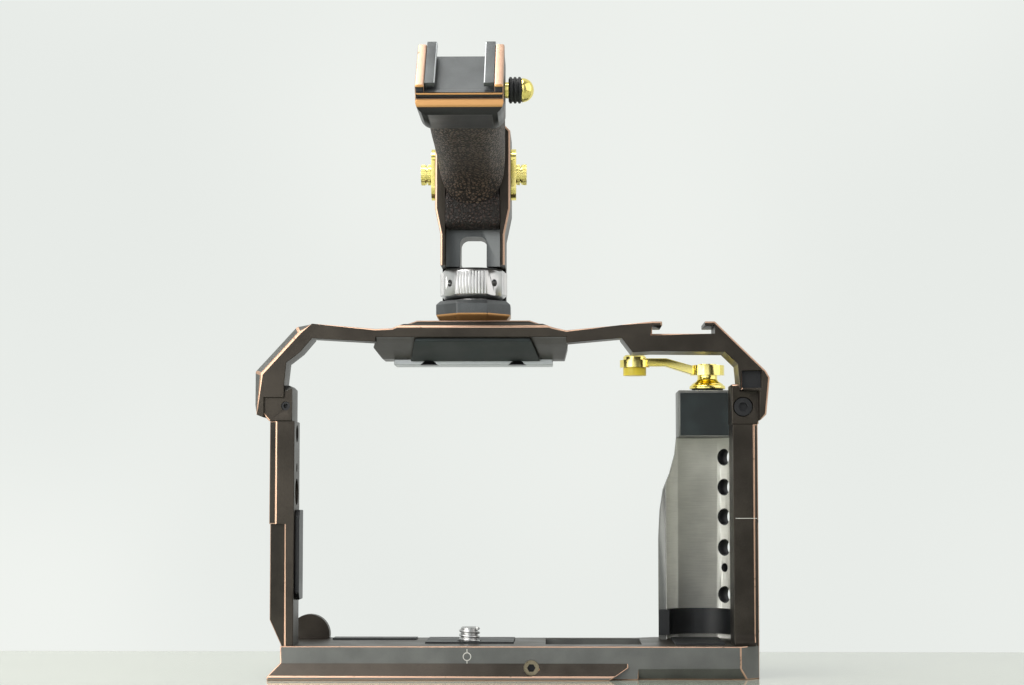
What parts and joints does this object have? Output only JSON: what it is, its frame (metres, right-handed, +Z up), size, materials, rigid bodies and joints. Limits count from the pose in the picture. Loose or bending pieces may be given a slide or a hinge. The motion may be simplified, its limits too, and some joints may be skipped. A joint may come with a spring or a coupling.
{
  "type": "camera cage with top handle",
  "caption": "Metal cage for a mirrorless camera with a top handle, an accessory shoe, a grip shell and a turning lever with a button.",
  "frame": {"origin": "axis of the camera screw at the base's top seat face", "axes": "+X to the operator's right, +Y towards the lens, +Z up along the camera screw"},
  "size_m": [0.1536, 0.1261, 0.1773],
  "materials": {
    "anodised": "satin bronze grey with worn copper edges",
    "grip_metal": "brushed satin grey",
    "rubber": "matt dark slate",
    "steel": "bright",
    "black_steel": "black oxide",
    "gold": "polished gold",
    "leather": "pebbled dark brown",
    "alloy": "plain satin",
    "yellow_rubber": "soft yellow",
    "black_plastic": "matt black"
  },
  "bodies": {
    "cage": {"lower_frame": "anodised", "base_pads": "rubber", "rear_hex_screw": "steel", "screw_washer": "black_steel", "left_inner_pad": "anodised", "top_arch": "anodised", "left_set_screw": "steel", "right_cap_screw": "black_steel", "hump_pad": "rubber", "lip_plate": "alloy", "lip_screws": "black_steel", "grip_shell": "grip_metal", "grip_top_pad": "rubber", "grip_bottom_pad": "rubber", "grip_screws": "steel", "lever_washer": "black_steel", "lever_base": "gold", "lever_screw": "gold"},
    "camera_screw": {"camera_screw": "steel"},
    "lever": {"lever_arm": "gold"},
    "button": {"button_cap": "gold", "button_pad": "yellow_rubber", "button_spring": "steel"},
    "handle": {"handle_foot": "anodised", "handle_frame": "anodised", "leather_upper": "leather", "leather_lower": "leather", "side_plate_left": "gold", "side_plate_right": "gold", "nose_block": "anodised", "shoe_rails": "black_steel", "nose_screws": "steel"},
    "lock_ring": {"lock_ring": "steel", "mounting_screw": "steel"},
    "thumb_left": {"thumb_screw_left": "gold"},
    "thumb_right": {"thumb_screw_right": "gold"},
    "shoe_knob": {"knob_stud": "gold", "knob_grip": "black_plastic", "knob_dome": "gold"}
  },
  "joints": [
    {"name": "camera_screw_turn", "type": "hinge", "parent": "cage", "child": "camera_screw", "pos_m": [0, 0, 0], "axis": [0, 0, 1], "continuous": true},
    {"name": "lever_swivel", "type": "hinge", "parent": "cage", "child": "lever", "pos_m": [0.0737, 0.016, 0.082], "axis": [0, 0, 1], "range_deg": [-60, 15]},
    {"name": "button_press", "type": "slide", "parent": "lever", "child": "button", "axis": [0, 0, -1], "range_m": [0, 0.001], "stiffness_N_per_m": 300, "springref_m": -0.001, "deforming": ["button_spring"]},
    {"name": "handle_swivel", "type": "hinge", "parent": "cage", "child": "handle", "pos_m": [0.001, 0.004, 0.0973], "axis": [0, 0, 1], "continuous": true},
    {"name": "lock_ring_spin", "type": "hinge", "parent": "handle", "child": "lock_ring", "pos_m": [0.001, 0.004, 0.105], "axis": [0, 0, 1], "continuous": true},
    {"name": "thumb_left_spin", "type": "hinge", "parent": "handle", "child": "thumb_left", "pos_m": [0.001, 0.005, 0.1439], "axis": [1, 0, 0], "continuous": true},
    {"name": "thumb_right_spin", "type": "hinge", "parent": "handle", "child": "thumb_right", "pos_m": [0.001, 0.005, 0.1439], "axis": [1, 0, 0], "continuous": true},
    {"name": "shoe_knob_spin", "type": "hinge", "parent": "handle", "child": "shoe_knob", "pos_m": [0.01275, -0.0795, 0.1545], "axis": [1, 0, 0], "continuous": true}
  ]
}
